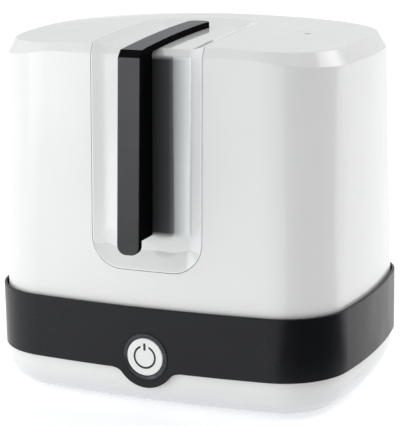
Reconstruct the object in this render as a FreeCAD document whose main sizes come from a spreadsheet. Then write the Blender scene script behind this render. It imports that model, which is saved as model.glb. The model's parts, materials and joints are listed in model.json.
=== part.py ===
import FreeCAD, Part
import Sketcher
import math
import os

V = FreeCAD.Vector
ALONG_Y = FreeCAD.Rotation(V(1, 0, 0), -90)
AGAINST_Y = FreeCAD.Rotation(V(1, 0, 0), 90)
ALONG_X = FreeCAD.Rotation(V(0, 1, 0), 90)
UPSIDE_DOWN = FreeCAD.Rotation(V(1, 0, 0), 180)

# The steriliser stands on the XY plane, its middle on the Z axis and its front towards -Y.
# Every size is a millimetre value in the sheet, and the features below are bound to it.
SIZES = {
    # heights above the table
    "foot_height": 1.5,
    "collar_bottom": 32.0,
    "deck_rim_bottom": 67.4,
    "deck_rim_top": 70.0,
    "hood_bottom": 70.3,
    "collar_top": 81.7,
    "top_height": 282.7,
    "loft_top": 290.0,
    # plan of the hood where it meets the base
    "low_half_width": 145.2,
    "low_half_depth": 105.5,
    "low_front_bow": 940.0,
    "low_side_bow": 406.0,
    "low_corner": 50.0,
    # plan of the hood's walls carried on to just above the top
    "high_half_width": 143.1,
    "high_half_depth": 95.3,
    "high_front_bow": 926.0,
    "high_side_bow": 369.0,
    "high_corner": 61.0,
    # the rounder plan of the bevel that runs round the top
    "crown_half_width": 135.5,
    "crown_half_depth": 92.5,
    "crown_front_bow": 888.0,
    "crown_side_bow": 371.0,
    "crown_corner": 58.0,
    "crown_height": 277.3,
    "crown_slope": 1.68,
    "crown_spread": 20.0,
    "crown_rise": 8.0,
    "crown_edge_round": 1.0,
    "dome_radius": 1350.0,
    "hood_wall": 2.5,
    # vent in the top
    "vent_x": 93.0,
    "vent_y": -3.0,
    "vent_radius": 2.6,
    "vent_dish_radius": 24.0,
    "vent_dish_depth": 0.9,
    # handle recess
    "recess_half_width": 45.0,
    "recess_floor_half": 31.0,
    "recess_depth": 3.2,
    "recess_bottom": 109.5,
    "recess_corner": 24.0,
    "recess_rear": 39.0,
    "recess_rear_radius": 68.0,
    "recess_gap": 0.5,
    "recess_rim": 1.1,
    "panel_thickness": 5.6,
    "panel_flange": 5.0,
    "panel_flange_inset": 2.8,
    # handle
    "handle_half_width": 9.05,
    "handle_thickness": 4.8,
    "handle_web_half": 4.3,
    "handle_bottom": 129.0,
    "handle_web_bottom": 136.8,
    "handle_rear": 9.4,
    "handle_front_top": -123.8,
    "handle_front_bottom": -134.0,
    "handle_corner": 7.0,
    "handle_edge_round": 1.0,
    "handle_rise": 1.5,
    "handle_clearance": 0.15,
    "screw_pitch": 45.0,
    "handle_screw_low": 155.0,
    # base
    "housing_wall": 2.6,
    "housing_round": 21.0,
    "collar_offset": 3.2,
    "collar_gap": 0.3,
    "collar_hood_gap": 1.2,
    "collar_lip_bottom": 70.2,
    "basin_offset": 16.0,
    "basin_wall": 2.5,
    "basin_floor": 50.0,
    "ridge_offset": 3.6,
    "ridge_width": 2.0,
    "ridge_height": 4.0,
    # power button
    "button_height": 43.3,
    "button_radius": 14.7,
    "button_gap": 0.3,
    "ring_radius": 18.6,
    "surround_radius": 24.8,
    "surround_blend": 10.0,
    "symbol_radius": 9.3,
    "symbol_line": 1.6,
    "symbol_depth": 0.5,
    "symbol_mouth_half": 3.3,
    "symbol_stroke_half": 0.95,
    "symbol_stroke_low": 5.2,
    "symbol_stroke_length": 5.6,
    "button_face": -109.6,
    "button_wall": 2.6,
    "plunger_radius": 2.4,
    "carrier_radius": 20.2,
    "carrier_wall": 2.2,
    "carrier_screw_x": 26.5,
    "carrier_screw_drop": 19.5,
    "board_set_back": 19.6,
    "board_half_width": 38.0,
    "board_height": 34.0,
    "board_thickness": 1.6,
    "lamp_x": 12.0,
    # mains side, in the back wall
    "gland_x": -60.0,
    "gland_height": 17.0,
    "gland_radius": 6.4,
    "gland_flange_radius": 8.6,
    "gland_bore": 3.6,
    "gland_length": 19.0,
    "gland_set_in": 16.5,
    "terminal_length": 30.0,
    "terminal_y": 56.0,
    # heating
    "heater_hole_radius": 62.0,
    "plate_radius": 68.0,
    "element_radius": 45.0,
    "element_tube": 3.5,
    "element_end_turn": 17.0,
    "clamp_outer": 81.0,
    "clamp_inner": 60.0,
    "clamp_circle": 76.0,
    "clamp_thickness": 1.6,
    "thermostat_radius": 8.0,
    "bracket_half_depth": 7.0,
    "bracket_low_x": -38.0,
    "bracket_high_x": 36.8,
    "bracket_drop": 10.4,
    "boss_x": 108.0,
    "boss_y": 52.0,
    "foot_x": 98.0,
    "foot_y": 62.0,
    "foot_radius": 8.0,
    "vent_slot_width": 3.0,
    "vent_slot_length": 40.0,
    "vent_slot_pitch": 9.0,
    # rack and tray
    "rack_inset": 22.0,
    "rack_floor": 52.5,
    "rack_pitch": 78.0,
    "rack_cup_radius": 33.0,
    "rack_cup_height": 24.6,
    "rack_cup_wall": 1.8,
    "rack_thickness": 2.4,
    "rack_hub_radius": 11.0,
    "tray_height": 232.0,
    "tray_depth": 22.0,
    "tray_wall": 1.8,
    "stem_radius": 6.0,
    "stem_base": 56.0,
    "rack_drain_radius": 9.0,
    "rack_small_drain": 6.0,
    "rack_drain_circle": 21.0,
    "rack_foot_x": 108.0,
    "rack_foot_y": 73.0,
    "tray_hole_radius": 5.0,
    "tray_hole_pitch": 17.0,
}

# The handle stands out in front, so every sub-part is set back until the whole is centred.
MIDDLE_OF_WHOLE = "-(sheet.handle_front_bottom + sheet.low_half_depth + sheet.collar_offset)/2"

sheet = doc = None


def make_sheet():
    """Write every driving size into the spreadsheet under its alias."""
    made = doc.addObject("Spreadsheet::Sheet", "sheet")
    for row, (alias, value) in enumerate(SIZES.items(), start=1):
        made.set(f"A{row}", alias)
        made.set(f"B{row}", str(value))
        made.setAlias(f"B{row}", alias)
    return made


def number(expression):
    """The value of an expression written with the sheet's aliases."""
    return float(sheet.evalExpression(expression))


def size(alias):
    return number("sheet." + alias)


# ---------------------------------------------------------------- shared makers
def bind(thing, **expressions):
    """Tie properties to the sheet; x, y and z are the place."""
    for name, expression in expressions.items():
        target = f"Placement.Base.{name}" if name in ("x", "y", "z") else name
        thing.setExpression(target, expression)
    return thing


def cylinder(name, radius, height, turn=None, **place):
    made = doc.addObject("Part::Cylinder", name)
    if turn:
        made.Placement.Rotation = turn
    return bind(made, Radius=radius, Height=height, **place)


def box(name, length, width, height, **place):
    """A box with its low corner at x, y, z."""
    return bind(doc.addObject("Part::Box", name), Length=length, Width=width, Height=height, **place)


def middle_box(name, half_width, y_low, y_high, z_low, z_high):
    """A box centred on the YZ plane, between two depths and two heights."""
    return box(name, f"2*({half_width})", f"({y_high}) - ({y_low})", f"({z_high}) - ({z_low})",
               x=f"-({half_width})", y=y_low, z=z_low)


def fuse(name, *things):
    made = doc.addObject("Part::MultiFuse", name)
    made.Shapes = list(things)
    return made


def common(name, *things):
    made = doc.addObject("Part::MultiCommon", name)
    made.Shapes = list(things)
    return made


def cut(name, base, tool):
    made = doc.addObject("Part::Cut", name)
    made.Base = base
    made.Tool = tool
    return made


def group(name, *things):
    """Separate solids that share one node."""
    made = doc.addObject("Part::Compound", name)
    made.Links = list(things)
    return made


def ring(name, outer, inner, height, turn=None, **place):
    """A washer or tube, as the cut of two cylinders on one axis."""
    whole = cylinder(name + "_outer", outer, height, turn, **place)
    hole = cylinder(name + "_inner", inner, height, turn, **place)
    return cut(name, whole, hole)


def rounded(name, base, radius, chosen):
    """Fillet the edges of base that the test chosen(edge) picks."""
    doc.recompute()
    made = doc.addObject("Part::Fillet", name)
    made.Base = base
    edges = [i for i, edge in enumerate(base.Shape.Edges, start=1) if chosen(edge)]
    made.Edges = [(i, radius, radius) for i in edges]
    return made


def screw(name, head_radius, head_height, radius, length, turn, **place):
    """A cross-head screw: its head stands on the place, and its shank runs the turned way."""
    head = cylinder(name + "_head", head_radius, head_height, z=f"-({head_height})")
    shank = cylinder(name + "_shank", radius, length)
    body = fuse(name + "_body", head, shank)
    slot_depth = f"({head_height})*0.5"
    slots = []
    for way, (length_x, length_y) in enumerate(((1.2, 0.24), (0.24, 1.2))):
        long, wide = f"({head_radius})*{length_x}", f"({head_radius})*{length_y}"
        slots.append(box(f"{name}_slot{way}", long, wide, slot_depth,
                         x=f"-({long})/2", y=f"-({wide})/2", z=f"-({head_height})"))
    made = cut(name, body, fuse(name + "_slots", *slots))
    if turn:
        made.Placement.Rotation = turn
    return bind(made, **place)


PLAN = ("half_width", "half_depth", "front_bow", "side_bow", "corner")


def outline(name, plan, offset, height):
    """A bowed rectangle with round corners: eight arcs in a row, each tangent to the next.

    The plan is one of the sheet's sets of sizes, and offset moves the whole outline outwards.
    """
    sizes = {key: f"(sheet.{plan}_{key} + ({offset}))" for key in PLAN}
    half_width, half_depth, front_bow, side_bow, corner = (number(sizes[key]) for key in PLAN)
    front_centre = V(0, half_depth - front_bow, 0)
    side_centre = V(half_width - side_bow, 0, 0)
    # the corner's centre lies where both long arcs, pulled in by the corner's radius, cross
    to_side = side_centre - front_centre
    reach_front, reach_side = front_bow - corner, side_bow - corner
    along = (reach_front**2 - reach_side**2 + to_side.Length**2) / (2 * to_side.Length)
    across = math.sqrt(reach_front**2 - along**2)
    unit = V(to_side).normalize()
    corner_centre = front_centre + unit * along + V(unit.y, -unit.x, 0) * across
    side = math.atan2(corner_centre.y, corner_centre.x - side_centre.x)
    front = math.atan2(corner_centre.y - front_centre.y, corner_centre.x)
    cx, cy = corner_centre.x, corner_centre.y
    half, full = math.pi, 2 * math.pi
    arcs = (
        (side_centre, side_bow, -side, side),
        (V(cx, cy, 0), corner, side, front),
        (front_centre, front_bow, front, half - front),
        (V(-cx, cy, 0), corner, half - front, half - side),
        (-side_centre, side_bow, half - side, half + side),
        (V(-cx, -cy, 0), corner, half + side, half + front),
        (-front_centre, front_bow, half + front, full - front),
        (V(cx, -cy, 0), corner, full - front, full - side),
    )
    sketch = doc.addObject("Sketcher::SketchObject", name)
    for centre, radius, start, end in arcs:
        circle = Part.Circle(centre, V(0, 0, 1), radius)
        sketch.addGeometry(Part.ArcOfCircle(circle, start, end), False)

    def constrain(*rule, expression=None):
        index = sketch.addConstraint(Sketcher.Constraint(*rule))
        if expression:
            sketch.setExpression(f"Constraints[{index}]", expression)

    for index in range(8):
        constrain("Tangent", index, 2, (index + 1) % 8, 1)
    constrain("Radius", 0, side_bow, expression=sizes["side_bow"])
    constrain("Radius", 2, front_bow, expression=sizes["front_bow"])
    constrain("Radius", 1, corner, expression=sizes["corner"])
    for first, second in ((0, 4), (2, 6), (1, 3), (1, 5), (1, 7)):
        constrain("Equal", first, second)
    for arc, axis in ((0, -1), (4, -1), (2, -2), (6, -2)):
        constrain("PointOnObject", arc, 3, axis)
    width_gap = f"{sizes['side_bow']} - {sizes['half_width']}"
    depth_gap = f"{sizes['front_bow']} - {sizes['half_depth']}"
    constrain("DistanceX", 0, 3, -1, 1, side_bow - half_width, expression=width_gap)
    constrain("DistanceX", -1, 1, 4, 3, side_bow - half_width, expression=width_gap)
    constrain("DistanceY", 2, 3, -1, 1, front_bow - half_depth, expression=depth_gap)
    constrain("DistanceY", -1, 1, 6, 3, front_bow - half_depth, expression=depth_gap)
    return bind(sketch, z=height)


def loft(name, *outlines):
    made = doc.addObject("Part::Loft", name)
    made.Sections = list(outlines)
    made.Solid = True
    made.Ruled = True
    return made


def slab(name, plan, offset, low, high):
    """A plate or block with the bowed outline, between two heights."""
    made = doc.addObject("Part::Extrusion", name)
    made.Base = outline(name + "_outline", plan, offset, low)
    made.DirMode = "Custom"
    made.Dir = V(0, 0, 1)
    made.Solid = True
    return bind(made, LengthFwd=f"({high}) - ({low})")


# ---------------------------------------------------------------- hood
def hood_form(name, inset, bottom):
    """The hood's outer form, drafted walls under a bevel and a shallow dome, drawn in by inset."""
    walls = loft(name + "_walls",
                 outline(name + "_low", "low", f"-({inset})", bottom),
                 outline(name + "_high", "high", f"-({inset})", "sheet.loft_top"))
    wide_height = "sheet.crown_height - sheet.crown_spread*sheet.crown_slope"
    narrow_height = "sheet.crown_height + sheet.crown_rise*sheet.crown_slope"
    bevel = loft(name + "_bevel",
                 outline(name + "_wide", "crown", f"sheet.crown_spread - ({inset})", wide_height),
                 outline(name + "_narrow", "crown", f"-sheet.crown_rise - ({inset})", narrow_height))
    reach = "(sheet.low_half_width + 20)"
    trunk = box(name + "_trunk", f"2*{reach}", f"2*{reach}", f"{wide_height} + 1 - ({bottom})",
                x=f"-{reach}", y=f"-{reach}", z=bottom)
    dome = doc.addObject("Part::Sphere", name + "_dome")
    bind(dome, Radius=f"sheet.dome_radius - ({inset})", z="sheet.top_height - sheet.dome_radius")
    return common(name, walls, fuse(name + "_limits", trunk, bevel), dome)


def front_wall(x, z):
    """Depth of the hood's front wall at a width and a height."""
    def arc(plan):
        bow = size(plan + "_front_bow")
        return -(size(plan + "_half_depth") - bow + math.sqrt(bow**2 - x**2))
    share = (z - size("hood_bottom")) / (size("loft_top") - size("hood_bottom"))
    return arc("low") * (1 - share) + arc("high") * share


def bevel_wall(x, z):
    """Depth of the front bevel at a width and a height."""
    drawn_in = (z - size("crown_height")) / size("crown_slope")
    bow = size("crown_front_bow") - drawn_in
    return -(size("crown_half_depth") - drawn_in - bow + math.sqrt(bow**2 - x**2))


def dome_top(x, y, depth=0.0):
    """Height of the dome, or of a surface at a depth below it."""
    radius = size("dome_radius")
    return size("top_height") - radius + math.sqrt((radius - depth)**2 - x**2 - y**2)


def crossing(low, high, gap):
    """Where gap(z) changes sign between two heights."""
    for _ in range(40):
        middle = (low + high) / 2
        if gap(low) * gap(middle) <= 0:
            high = middle
        else:
            low = middle
    return (low + high) / 2


def bevel_heights(x, depth):
    """Heights of the bevel's lower and upper edge, on the surface at a depth under the skin."""
    lower = crossing(240, 285, lambda z: front_wall(x, z) - bevel_wall(x, z))
    upper = crossing(260, 290, lambda z: dome_top(x, bevel_wall(x, z) + depth, depth) - z)
    return lower, upper


def seam_bottom(x):
    """Height of the recess's lower seam, round at its two corners."""
    corner = size("recess_corner")
    into_corner = max(0.0, abs(x) - (size("recess_half_width") - corner))
    return size("recess_bottom") + corner - math.sqrt(corner**2 - into_corner**2)


def seam_rear(x):
    """Depth of the recess's rear seam, a shallow arc across the top."""
    radius = size("recess_rear_radius")
    return size("recess_rear") - radius + math.sqrt(radius**2 - x**2)


def floor_line(x, depth):
    """Points down the middle of the recess, on the surface at a depth under the hood's skin."""
    lower, upper = bevel_heights(x, depth)
    ramp = depth * (size("recess_half_width") - size("recess_floor_half")) / size("recess_depth")
    low_end, rear_end = seam_bottom(x) + size("recess_rim"), seam_rear(x) - size("recess_rim")
    front_foot = low_end + ramp
    bevel_top = bevel_wall(x, upper) + depth
    floor_rear = rear_end - ramp
    middle = (bevel_top + floor_rear) / 2
    return {
        "bottom_seam": V(x, front_wall(x, low_end), low_end),
        "front_foot": V(x, front_wall(x, front_foot) + depth, front_foot),
        "bevel_low": V(x, front_wall(x, lower) + depth, lower),
        "bevel_high": V(x, bevel_top, upper),
        "top_middle": V(x, middle, dome_top(x, middle, depth)),
        "top_rear": V(x, floor_rear, dome_top(x, floor_rear, depth)),
        "rear_seam": V(x, rear_end, dome_top(x, rear_end)),
    }


def recess_cutter(name):
    """What the recess takes out of the panel: closed side profiles joined smoothly across the width.

    Every profile runs on past the skin at both ends, so that only the recess itself is cut.
    """
    half, floor_half, full_depth = (size(key) for key in
                                    ("recess_half_width", "recess_floor_half", "recess_depth"))
    start, steps, run_on = -0.4, 5, 0.35
    sides = []
    for step in range(steps + 1):
        share = step / steps
        depth = start + (full_depth - start) * math.sin(share * math.pi / 2)
        sides.append((half - (half - floor_half) * share, depth))
    floor_places = [(x, full_depth) for x in (-floor_half / 2, 0.0, floor_half / 2)]
    stations = [(-x, depth) for x, depth in sides] + floor_places + sides[::-1]
    outside_y, outside_z = size("handle_front_bottom") - 10, size("loft_top") + 5
    profiles = []
    for x, depth in stations:
        line = floor_line(x, max(depth, 0.01))
        if depth < 0:
            line = {key: point + V(0, depth, -depth) for key, point in line.items()}
        low = line["bottom_seam"] + (line["bottom_seam"] - line["front_foot"]) * run_on
        rear = line["rear_seam"] + (line["rear_seam"] - line["top_rear"]) * run_on
        if depth < 1:
            low = line["bottom_seam"] + V(0, -1.5, -5)
            rear = line["rear_seam"] + V(0, 5, 1.5)
        top_arc = Part.Arc(line["bevel_high"], line["top_middle"], line["top_rear"])
        edges = [
            Part.LineSegment(low, line["front_foot"]),
            Part.LineSegment(line["front_foot"], line["bevel_low"]),
            Part.LineSegment(line["bevel_low"], line["bevel_high"]),
            top_arc,
            Part.LineSegment(line["top_rear"], rear),
            Part.LineSegment(rear, V(x, rear.y, outside_z)),
            Part.LineSegment(V(x, rear.y, outside_z), V(x, outside_y, outside_z)),
            Part.LineSegment(V(x, outside_y, outside_z), V(x, outside_y, low.z)),
            Part.LineSegment(V(x, outside_y, low.z), low),
        ]
        profiles.append(Part.Wire([edge.toShape() for edge in edges]))
    made = doc.addObject("Part::Feature", name)
    made.Shape = Part.makeLoft(profiles, True, False)
    return made


def seam_block(name, grow):
    """The block inside the recess's seam, grown all round by a gap."""
    half = f"(sheet.recess_half_width + ({grow}))"
    front_far, front_near = "sheet.handle_front_bottom", "-60"
    front = middle_box(name + "_front", half, front_far, front_near,
                       f"sheet.recess_bottom - ({grow})", "sheet.loft_top + 5")
    low = number(f"sheet.recess_bottom - ({grow})")

    def bottom_corner(edge):
        return edge.BoundBox.ZMax < low + 1 and edge.BoundBox.XLength < 1
    corner = number(f"sheet.recess_corner + ({grow})")
    front = rounded(name + "_front_round", front, corner, bottom_corner)
    low_limit, high_limit = "sheet.crown_height - 40", "sheet.loft_top + 5"
    top = middle_box(name + "_top", half, front_far, "0", low_limit, high_limit)
    rear_box = middle_box(name + "_rear", half, "-5", "60", low_limit, high_limit)
    rear_disc = cylinder(name + "_disc", f"sheet.recess_rear_radius + ({grow})", "80",
                         y="sheet.recess_rear - sheet.recess_rear_radius", z="sheet.crown_height - 50")
    return fuse(name, front, top, common(name + "_rear_end", rear_box, rear_disc))


def handle_screw_places():
    """Height and depth of each handle screw, on the inside of the recess panel."""
    places = []
    for step in range(3):
        height = size("handle_screw_low") + step * size("screw_pitch")
        places.append((height, front_wall(0, height) + size("panel_thickness")))
    return places


def screw_bores(name, radius):
    """Bores for the handle's screws, through panel and web."""
    bores = [cylinder(f"{name}{i}", radius, "40", AGAINST_Y, y=f"{depth} + 10", z=f"{height}")
             for i, (height, depth) in enumerate(handle_screw_places())]
    return fuse(name, *bores)


def make_hood_shell():
    form = hood_form("hood_outer", "0", "sheet.hood_bottom")
    doc.recompute()
    dome_low = size("crown_height") - 8

    def crown_edge(edge):
        return edge.BoundBox.ZMin > dome_low - 25 and edge.BoundBox.ZLength < 6 and edge.Length > 20
    form = rounded("hood_softened", form, size("crown_edge_round"), crown_edge)
    cavity = hood_form("hood_cavity", "sheet.hood_wall", "sheet.hood_bottom - 1")
    dish_height = "sheet.vent_dish_radius - sheet.vent_dish_depth"
    vent_top = dome_top(size("vent_x"), size("vent_y"))
    dish = doc.addObject("Part::Sphere", "vent_dish")
    bind(dish, Radius="sheet.vent_dish_radius", x="sheet.vent_x", y="sheet.vent_y",
         z=f"{vent_top} + {dish_height}")
    vent = cylinder("vent_bore", "sheet.vent_radius", "20", x="sheet.vent_x", y="sheet.vent_y",
                    z=f"{vent_top} - 12")
    window = seam_block("hood_window", "sheet.recess_gap")
    openings = fuse("hood_openings", cavity, window, dish, vent)
    return cut("hood_shell", form, openings)


def make_recess_panel():
    skin = common("panel_skin", hood_form("panel_outer", "0", "sheet.hood_bottom"),
                  seam_block("panel_block", "0"))
    flange_form = hood_form("flange_outer", "sheet.panel_flange_inset", "sheet.hood_bottom")
    flange = common("panel_flange", flange_form, seam_block("flange_block", "sheet.panel_flange"))
    inside = hood_form("panel_inner", "sheet.panel_thickness", "sheet.hood_bottom - 1")
    openings = fuse("panel_openings", inside, recess_cutter("recess_cutter"),
                    screw_bores("panel_bores", "1.8"))
    return cut("recess_panel", fuse("panel_solid", skin, flange), openings)


def handle_profiles():
    """Side profiles of the handle: the broad strip, and the web that joins it to the recess."""
    x = 0.0
    clearance = size("handle_clearance")
    floor = {key: V(0, point.y, point.z) for key, point in floor_line(x, size("recess_depth")).items()}
    rise, thick = size("handle_rise"), size("handle_thickness")
    rear = size("handle_rear")
    front_top, front_bottom = size("handle_front_top"), size("handle_front_bottom")
    bottom, web_bottom = size("handle_bottom"), size("handle_web_bottom")

    def top(y, drop=0.0):
        return dome_top(0, y) + rise - drop
    bend_rear, bend_front = front_top + 4.8, front_top
    bend_low = top(bend_rear) - 5.2

    def front(z, back=0.0):
        share = (bend_low - z) / (bend_low - bottom)
        return front_top + (front_bottom - front_top) * share + back
    under = thick - 0.1
    inner_y = bend_rear + 1.2
    strip = Part.Wire([edge.toShape() for edge in (
        Part.Arc(V(0, rear, top(rear)), V(0, -50, top(-50)), V(0, bend_rear, top(bend_rear))),
        Part.LineSegment(V(0, bend_rear, top(bend_rear)), V(0, bend_front, bend_low)),
        Part.LineSegment(V(0, bend_front, bend_low), V(0, front_bottom, bottom)),
        Part.LineSegment(V(0, front_bottom, bottom), V(0, front_bottom + thick, bottom)),
        Part.LineSegment(V(0, front_bottom + thick, bottom), V(0, front(bend_low - 4, thick), bend_low - 4)),
        Part.LineSegment(V(0, front(bend_low - 4, thick), bend_low - 4), V(0, inner_y, top(inner_y, under))),
        Part.Arc(V(0, inner_y, top(inner_y, under)), V(0, -50, top(-50, under)),
                 V(0, rear, top(rear, under))),
        Part.LineSegment(V(0, rear, top(rear, under)), V(0, rear, top(rear))),
    )])
    foot_y = front_wall(x, web_bottom) + size("recess_depth") - clearance
    low_edge = floor["bevel_low"] + V(0, -clearance, clearance)
    high_edge = floor["bevel_high"] + V(0, -clearance, clearance)
    web_rear = -60
    back_of_strip = thick - 1.0
    web = Part.makePolygon([
        V(0, front(web_bottom, back_of_strip), web_bottom),
        V(0, foot_y, web_bottom),
        low_edge,
        high_edge,
        V(0, web_rear, dome_top(x, web_rear, size("recess_depth")) + clearance),
        V(0, web_rear, top(web_rear, under - 1.0)),
        V(0, bend_rear, top(bend_rear, under - 1.0)),
        V(0, front(bend_low, back_of_strip), bend_low),
        V(0, front(web_bottom, back_of_strip), web_bottom),
    ])
    return strip, web


def prism(name, wire, half_width):
    """A side profile drawn on the YZ plane, thickened to both sides of it."""
    made = doc.addObject("Part::Feature", name)
    face = Part.Face(wire)
    made.Shape = face.extrude(V(2 * half_width, 0, 0)).translated(V(-half_width, 0, 0))
    return made


def make_handle():
    strip_wire, web_wire = handle_profiles()
    strip = prism("handle_strip", strip_wire, size("handle_half_width"))
    bottom, rear = size("handle_bottom"), size("handle_rear")

    def end_corner(edge):
        low = edge.BoundBox.ZMax < bottom + 1 and edge.BoundBox.XLength < 0.1
        back = edge.BoundBox.YMin > rear - 0.1 and edge.BoundBox.XLength < 0.1
        return low or back
    strip = rounded("handle_strip_ends", strip, size("handle_corner"), end_corner)
    doc.recompute()
    side = size("handle_half_width")

    def long_edge(edge):
        bounds = edge.BoundBox
        outer_front = bounds.ZMax < 274 and bounds.YMax < size("handle_front_top") + 0.6
        end = edge.valueAt(edge.FirstParameter)
        outer_top = bounds.ZMin > 272 and end.z > dome_top(0, end.y) + size("handle_rise") - 1.0
        return abs(abs(edge.CenterOfMass.x) - side) < 0.1 and (outer_front or outer_top)
    strip = rounded("handle_strip_soft", strip, size("handle_edge_round"), long_edge)
    web = prism("handle_web", web_wire, size("handle_web_half"))
    whole = fuse("handle_whole", strip, web)
    return cut("handle_grip", whole, screw_bores("handle_bores", "1.55"))


def make_handle_fixings():
    screws, washers = [], []
    for i, (height, depth) in enumerate(handle_screw_places()):
        washers.append(ring(f"handle_washer{i}", "4.2", "1.75", "1.0", AGAINST_Y,
                            y=f"{depth} + 1.25", z=f"{height}"))
        screws.append(screw(f"handle_screw{i}", "3.0", "2.2", "1.5", "16", AGAINST_Y,
                            y=f"{depth} + 1.3", z=f"{height}"))
    return group("handle_screws", *screws), group("handle_washers", *washers)


# ---------------------------------------------------------------- base
def corner_places(x_alias, y_alias):
    """The four signed places of a fitting that sits near each corner of the base."""
    return [(f"{side}*sheet.{x_alias}", f"{end}*sheet.{y_alias}") for end in (-1, 1) for side in (-1, 1)]


def round_bottom(name, base, radius, low):
    def bottom_edge(edge):
        return edge.BoundBox.ZMax < low + 0.1
    return rounded(name, base, radius, bottom_edge)


def make_bottom_housing():
    wall, low = "sheet.housing_wall", size("foot_height")
    outer = slab("housing_outer", "low", "0", "sheet.foot_height", "sheet.deck_rim_bottom - 0.2")
    outer = round_bottom("housing_outer_round", outer, size("housing_round"), low)
    inner = slab("housing_inner", "low", f"-{wall}", f"sheet.foot_height + {wall}",
                 "sheet.deck_rim_bottom + 1")
    inner = round_bottom("housing_inner_round", inner, size("housing_round") - size("housing_wall"),
                         low + size("housing_wall"))
    openings = [inner, cylinder("housing_button_hole", "sheet.surround_radius - 1.6", "20", ALONG_Y,
                                y="-sheet.low_half_depth - 5", z="sheet.button_height"),
                cylinder("housing_cord_hole", "sheet.gland_radius + 0.3", "20", ALONG_Y, x="sheet.gland_x",
                         y="sheet.low_half_depth - 16", z="sheet.gland_height")]
    for i, (x, y) in enumerate(corner_places("boss_x", "boss_y")):
        openings.append(cylinder(f"housing_screw_hole{i}", "2.2", "6", x=x, y=y, z="0.5"))
        openings.append(cylinder(f"housing_head_seat{i}", "4.2", "1.2", x=x, y=y,
                                 z="sheet.foot_height - 0.2"))
    for i, (x, y) in enumerate(corner_places("foot_x", "foot_y")):
        openings.append(cylinder(f"housing_foot_seat{i}", "sheet.foot_radius + 0.1", "1.2", x=x, y=y,
                                 z="sheet.foot_height - 0.2"))
    for i in range(-4, 5):
        openings.append(box(f"housing_slot{i + 4}", "sheet.vent_slot_width", "sheet.vent_slot_length", "6",
                            x=f"{i}*sheet.vent_slot_pitch - sheet.vent_slot_width/2",
                            y="-sheet.vent_slot_length/2", z="0.5"))
    return cut("bottom_housing", outer, fuse("housing_openings", *openings))


def make_feet():
    labels = ("foot_front_left", "foot_front_right", "foot_rear_left", "foot_rear_right")
    feet = []
    for label, (x, y) in zip(labels, corner_places("foot_x", "foot_y")):
        pad = cylinder(label + "_pad", "sheet.foot_radius", "sheet.foot_height + 0.9", x=x, y=y, z="0")
        low = 0.05

        def rim(edge, low=low):
            return edge.BoundBox.ZMax < low
        feet.append(rounded(label, pad, 0.7, rim))
    return feet


def make_housing_screws():
    return group("housing_screws", *[
        screw(f"housing_screw{i}", "3.6", "1.4", "1.9", "16", None, x=x, y=y, z="sheet.foot_height + 0.95")
        for i, (x, y) in enumerate(corner_places("boss_x", "boss_y"))])


def surround_face(name):
    """The round of the button's surround, seen from in front, with its two hollow blends into the band."""
    reach = "30"
    face_y = "-sheet.low_half_depth - 15"
    disc = cylinder(name + "_disc", "sheet.surround_radius", reach, ALONG_Y, y=face_y,
                    z="sheet.button_height")
    drop = size("button_height") - size("collar_bottom")
    across = size("surround_radius") + size("surround_blend")
    down = drop + size("surround_blend")
    blend_x = math.sqrt(across**2 - down**2)
    meet_z = size("button_height") - down * size("surround_radius") / across
    web = box(name + "_web", f"{2 * blend_x}", reach, f"sheet.collar_bottom + 2 - {meet_z}",
              x=f"{-blend_x}", y=face_y, z=f"{meet_z}")
    hollows = [cylinder(f"{name}_hollow{i}", "sheet.surround_blend", reach, ALONG_Y, x=f"{side * blend_x}",
                        y=face_y, z="sheet.collar_bottom - sheet.surround_blend")
               for i, side in enumerate((-1, 1))]
    return fuse(name, disc, cut(name + "_neck", web, fuse(name + "_hollows", *hollows)))


def make_collar():
    """The dark band round the base, with a round surround for the power button."""
    outer = slab("collar_outer", "low", "sheet.collar_offset", "sheet.collar_bottom", "sheet.collar_top")

    def rims(edge):
        return edge.BoundBox.ZLength < 0.1
    outer = rounded("collar_soft", outer, 0.8, rims)
    surround_band = slab("surround_band", "low", "sheet.collar_offset",
                         "sheet.button_height - sheet.surround_radius - 2", "sheet.button_height + 10")
    whole = fuse("collar_whole", outer, common("surround", surround_band, surround_face("surround_face")))
    grip = slab("collar_grip", "low", "sheet.collar_gap", "sheet.button_height - sheet.surround_radius - 3",
                "sheet.collar_lip_bottom")
    lip = slab("collar_lip", "low", "sheet.collar_hood_gap", "sheet.collar_lip_bottom - 1",
               "sheet.collar_top + 1")
    hole = cylinder("collar_button_hole", "sheet.ring_radius + 0.3", "30", ALONG_Y,
                    y="-sheet.low_half_depth - 15", z="sheet.button_height")
    return cut("base_collar", whole, fuse("collar_openings", grip, lip, hole))


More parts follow.
